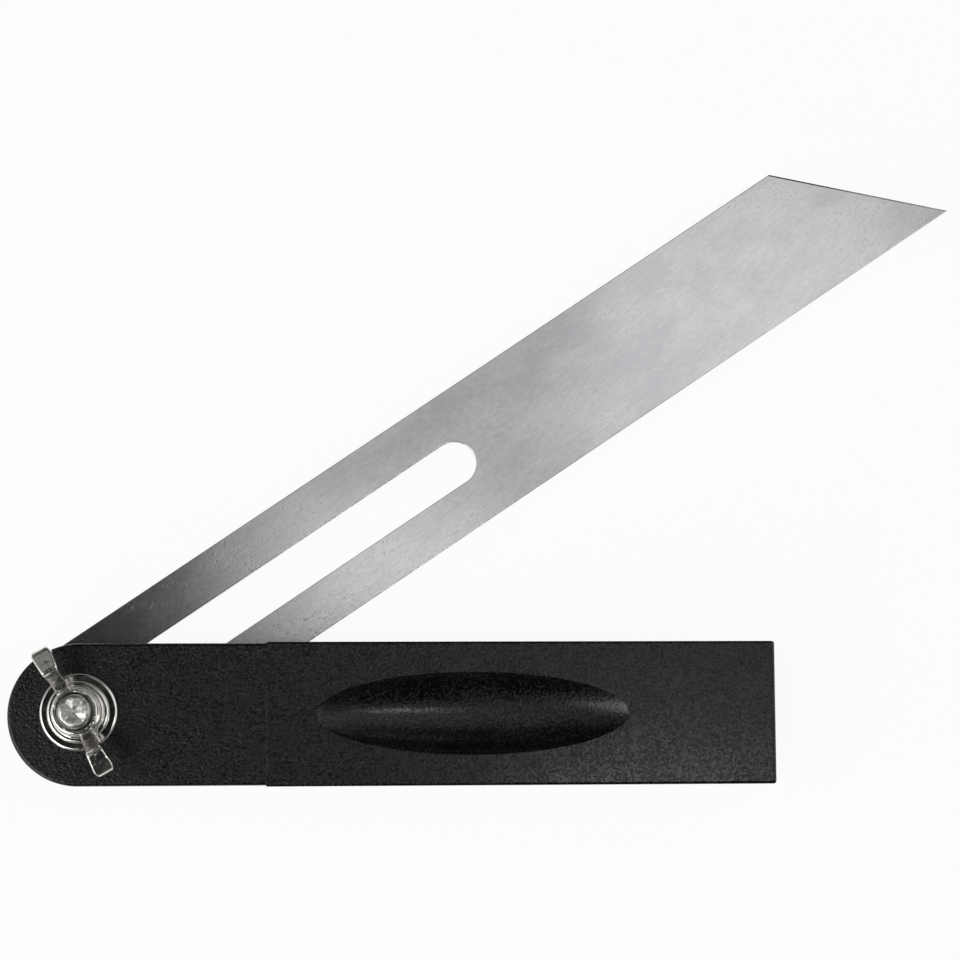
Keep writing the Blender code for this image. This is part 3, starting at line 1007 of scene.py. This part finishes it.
def wing(settings, turn):
    """One wing: a plate that stands on edge, thicker towards its end, with its rims rounded."""
    reach, height = settings.wing_reach, NUT_HIGH.z - NUT_LOW.z
    half = settings.wing_thickness / 2
    shape = bmesh.new()
    verts = [shape.verts.new((along * reach, -half, up * height)) for along, up in WING_OUTLINE_SHARES]
    face = shape.faces.new(verts)
    grown = bmesh.ops.extrude_face_region(shape, geom=[face])
    far = [item for item in grown["geom"] if isinstance(item, bmesh.types.BMVert)]
    bmesh.ops.translate(shape, vec=(0.0, 2 * half, 0.0), verts=far)
    for along in sorted({along for along, up in WING_OUTLINE_SHARES})[1:-1]:
        geometry = shape.verts[:] + shape.edges[:] + shape.faces[:]
        place = (along * reach, 0.0, 0.0)
        bmesh.ops.bisect_plane(shape, geom=geometry, dist=TINY, plane_co=place, plane_no=(1.0, 0.0, 0.0))
    for vert in shape.verts:
        share = vert.co.x / reach
        vert.co.y *= NECK_SHARE + (1 - NECK_SHARE) * climbed(share, *THICKENING_SHARES)
        vert.co.y *= 1 - CORNER_LOSS_SHARE * climbed(share, *CORNER_SHARES) ** 2
    bmesh.ops.recalc_face_normals(shape, faces=shape.faces)
    round_off(shape, [edge for edge in shape.edges if is_sharp(edge)], settings.wing_rounding, 3)
    place = Matrix.Translation((0.0, 0.0, NUT_LOW.z)) @ Matrix.Rotation(WING_ANGLE + turn, 4, "Z")
    bmesh.ops.transform(shape, matrix=place, verts=shape.verts)
    return add_object("wing", shape)


def nut_hub(settings):
    """The hub: a collar, a neck just over it and a slightly tapered barrel, all with rounded edges."""
    base, top, low = settings.hub_base_radius, settings.hub_top_radius, NUT_LOW.z
    high, collar, edge = low + settings.hub_height, low + COLLAR_HEIGHT, HUB_ROUNDING
    profile = [(0.0, low), *quarter((base - edge, low + edge), edge, -1, 4)]
    profile += quarter((base - edge, collar - edge), edge, 0, 4)
    profile += [(base - NECK_INSET, collar + NECK_RISE)]
    profile += quarter((top - edge, high - edge), edge, 0, 4)
    return turned([*profile, (0.0, high)], 128)


def nut_bore(settings):
    """The nut's bore, with a countersunk mouth."""
    low, high = NUT_LOW.z - OVERRUN, NUT_LOW.z + settings.hub_height
    bore, mouth = BOLT_RADIUS + BORE_CLEARANCE, BOLT_RADIUS + MOUTH_CLEARANCE
    profile = [(0.0, low), (bore, low), (bore, high - (mouth - bore))]
    return turned([*profile, (mouth + OVERRUN, high + OVERRUN), (0.0, high + OVERRUN)], 96)


def make_wing_nut(settings):
    """The wing nut: hub and wings melted together as one lumpy forging, then bored and countersunk."""
    nut = add_object("wing_nut_forging", nut_hub(settings))
    combine(nut, "UNION", wing(settings, 0.0), wing(settings, math.pi))
    melt = nut.modifiers.new("melt", "REMESH")
    melt.mode = "VOXEL"
    melt.voxel_size = VOXEL
    soften = nut.modifiers.new("soften", "SMOOTH")
    soften.factor, soften.iterations = SMOOTHING, SMOOTHING_PASSES
    clouds = bpy.data.textures.new("forging_lumps", "CLOUDS")
    clouds.noise_scale = LUMP_SIZE
    lumps = nut.modifiers.new("lumps", "DISPLACE")
    lumps.texture = clouds
    lumps.texture_coords = "LOCAL"
    lumps.strength = settings.forging_depth
    bake(nut)
    for vert in nut.data.vertices:
        vert.co.z = min(max(vert.co.z, NUT_LOW.z), NUT_HIGH.z)
    combine(nut, "DIFFERENCE", add_object("bore", nut_bore(settings)))
    bake(nut)
    smooth(nut, 45.0)
    return nut


def make_floor(settings):
    """A wide plain floor under the tool, white to the camera but still holding a trace of shadow."""
    shape = bmesh.new()
    bmesh.ops.create_grid(shape, x_segments=1, y_segments=1, size=FLOOR_REACH)
    bmesh.ops.translate(shape, vec=(0.0, 0.0, -FLOOR_DROP), verts=shape.verts)
    floor = add_object("floor", shape)
    paper = Surface("floor_paper")
    paper.finish(Base_Color=(*settings.floor_colour, 1.0), Roughness=0.8, Specular_IOR_Level=0.1)
    seen = paper.seen_by("Camera") + paper.seen_by("Glossy") + paper.seen_by("Transmission")
    glow = paper.add("ShaderNodeEmission", None, {"Color": WHITE, "Strength": 1.0})
    shader = Value(paper, paper.shader.outputs[0])
    mixed = paper.add("ShaderNodeMixShader", None, {0: seen * FLOOR_WHITE_SHARE, 1: shader, 2: glow})
    paper.feed(paper.nodes["Material Output"], {"Surface": mixed})
    floor.data.materials.append(paper.material)
    floor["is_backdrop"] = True


def add_lamp(name, place, size, power, target=None):
    """A rectangular lamp that faces its target, or straight down."""
    light = bpy.data.lights.new(name, "AREA")
    light.shape = "RECTANGLE"
    light.size, light.size_y = size
    light.energy = power
    lamp = bpy.data.objects.new(name, light)
    lamp.location = place
    if target:
        lamp.rotation_euler = (place - target).to_track_quat("Z", "Y").to_euler()
    bpy.context.scene.collection.objects.link(lamp)


def make_lamps(settings):
    for step, (name, across, along, power) in enumerate(PANELS):
        place = Vector((sum(across) / 2, sum(along) / 2, CEILING - step * MM))
        size = (across[1] - across[0], along[1] - along[0])
        add_lamp(name, place, size, power * settings.level)
    for name, azimuth, elevation, size, power in SOFTBOXES:
        lean, turn = math.radians(90.0 - elevation), math.radians(azimuth)
        outward = Matrix.Rotation(turn, 3, "Z") @ Matrix.Rotation(lean, 3, "Y") @ UP
        place = SOFTBOX_TARGET + outward * SOFTBOX_DISTANCE
        add_lamp(name, place, (size, size), power * settings.level, SOFTBOX_TARGET)


def make_world():
    """A dim room with a low white wall that the camera sees.

    Metal mirrors that wall faintly, and the room's pale ends along X, which reach higher up.
    """
    world = bpy.data.worlds.new("room")
    bpy.context.scene.world = world
    room = Graph(world)
    direction = room.add("ShaderNodeTexCoord", output="Generated")
    across, height = (room.add("ShaderNodeSeparateXYZ", None, {0: direction}, axis) for axis in "XZ")

    def fading(start, end):
        """1 below a start height, and 0 over an end height."""
        bounds = {0: height, 1: start, 2: end, 3: 1.0, 4: 0.0}
        return room.add("ShaderNodeMapRange", {"interpolation_type": "SMOOTHSTEP"}, bounds)

    # A number just over 1 keeps the division finite straight overhead
    ends = across * across / (1.001 - height * height)
    wall = fading(*WALL_FADE)
    gloss = wall * WALL_GLOSS_SHARE + fading(*END_FADE) * ends * END_GLOSS_SHARE
    seen = (room.seen_by("Camera") + room.seen_by("Transmission")) * wall + room.seen_by("Glossy") * gloss
    dim, bright = (
        room.add("ShaderNodeBackground", None, {"Color": WHITE, "Strength": level})
        for level in (ROOM_LEVEL, 1.0)
    )
    mixed = room.add("ShaderNodeMixShader", None, {0: seen, 1: dim, 2: bright})
    room.feed(room.nodes["World Output"], {"Surface": mixed})


def make_camera():
    """The camera over the tool, leaning as the photograph's does."""
    roll, pitch, yaw = (Matrix.Rotation(angle, 3, axis) for angle, axis in zip(CAMERA_LEAN, "XYZ"))
    outward = (yaw @ pitch @ roll).transposed()
    data = bpy.data.cameras.new("camera")
    data.lens = CAMERA_LENS
    data.sensor_width = CAMERA_SENSOR
    data.clip_start, data.clip_end = 0.01, 20.0
    camera = bpy.data.objects.new("camera", data)
    camera.matrix_world = Matrix.Translation(CAMERA_AIM + outward @ (UP * CAMERA_DISTANCE)) @ outward.to_4x4()
    bpy.context.scene.collection.objects.link(camera)
    bpy.context.scene.camera = camera


class BEVEL_OT_handle(bpy.types.Operator):
    """Model the moulded handle"""

    bl_idname = "bevel.handle"
    bl_label = "Handle"

    def execute(self, context):
        settings = context.scene.bevel_handle
        material = finish_of("grained_black_abs", black_plastic, settings)
        dress(make_handle(settings), material, "handle", "handle")
        return {"FINISHED"}


class BEVEL_OT_blade(bpy.types.Operator):
    """Model the slotted steel blade"""

    bl_idname = "bevel.blade"
    bl_label = "Blade"

    def execute(self, context):
        settings = context.scene.bevel_blade
        material = finish_of("brushed_blade_steel", brushed_steel, settings)
        dress(make_blade(settings), material, "blade", "blade")
        return {"FINISHED"}


class BEVEL_OT_bolt(bpy.types.Operator):
    """Model the pivot bolt with its staked end"""

    bl_idname = "bevel.bolt"
    bl_label = "Bolt"

    def execute(self, context):
        material = finish_of("staked_bolt_plate", bolt_plate, context.scene.bevel_hardware)
        dress(make_bolt(), material, "handle", "pivot_bolt")
        return {"FINISHED"}


class BEVEL_OT_washers(bpy.types.Operator):
    """Model the two plated washers, and finish the nylon ones beside the blade"""

    bl_idname = "bevel.washers"
    bl_label = "Washers"

    def execute(self, context):
        material = finish_of("bright_washer_plate", washer_plate, context.scene.bevel_hardware)
        wide, small = make_washer("wide_washer", "face_washer"), make_washer("small_washer", "nut_washer")
        dress(wide, material, "handle", "face_washer")
        dress(small, material, "nut_washer", "nut_washer")
        nylon = finish_of("black_nylon_sheet", black_nylon)
        for name in ("front_friction_washer", "back_friction_washer"):
            for slot in frame["nodes"][name].material_slots:
                slot.material = nylon
        return {"FINISHED"}


class BEVEL_OT_wing_nut(bpy.types.Operator):
    """Model the forged wing nut"""

    bl_idname = "bevel.wing_nut"
    bl_label = "Wing nut"

    def execute(self, context):
        settings = context.scene.bevel_hardware
        material = finish_of("forged_nut_plate", nut_plate, settings)
        dress(make_wing_nut(settings), material, "wing_nut", "wing_nut")
        return {"FINISHED"}


class BEVEL_OT_studio(bpy.types.Operator):
    """Set up the floor, the lamps, the room and the camera"""

    bl_idname = "bevel.studio"
    bl_label = "Studio"

    def execute(self, context):
        settings = context.scene.bevel_studio
        make_floor(settings)
        make_lamps(settings)
        make_world()
        make_camera()
        context.scene.view_settings.view_transform = "Standard"
        return {"FINISHED"}


OPERATORS = (
    BEVEL_OT_handle,
    BEVEL_OT_blade,
    BEVEL_OT_bolt,
    BEVEL_OT_washers,
    BEVEL_OT_wing_nut,
    BEVEL_OT_studio,
)


class BEVEL_PT_sidebar(bpy.types.Panel):
    """The bevel's settings and the buttons that make its pieces"""

    bl_label = "Sliding Bevel"
    bl_idname = "BEVEL_PT_sidebar"
    bl_space_type = "VIEW_3D"
    bl_region_type = "UI"
    bl_category = "Bevel"

    def draw(self, context):
        for name, group in SETTINGS.items():
            column = self.layout.box()
            for key in group.__annotations__:
                column.prop(getattr(context.scene, name), key)
        for operator in OPERATORS:
            self.layout.operator(operator.bl_idname)


SETTINGS = {
    "bevel_handle": HandleSettings,
    "bevel_blade": BladeSettings,
    "bevel_hardware": HardwareSettings,
    "bevel_studio": StudioSettings,
}
CLASSES = (*SETTINGS.values(), *OPERATORS, BEVEL_PT_sidebar)


def register():
    for cls in CLASSES:
        bpy.utils.register_class(cls)
    for name, group in SETTINGS.items():
        setattr(bpy.types.Scene, name, PointerProperty(type=group))


def unregister():
    for name in SETTINGS:
        delattr(bpy.types.Scene, name)
    for cls in reversed(CLASSES):
        bpy.utils.unregister_class(cls)


def corners():
    """The lowest and highest corner of the shown object, as plain lists."""
    return [list(corner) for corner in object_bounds()]


def main():
    register()
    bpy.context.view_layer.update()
    for operator in OPERATORS:
        getattr(bpy.ops.bevel, operator.bl_idname.split(".")[1])()


if __name__ == "__main__":
    main()
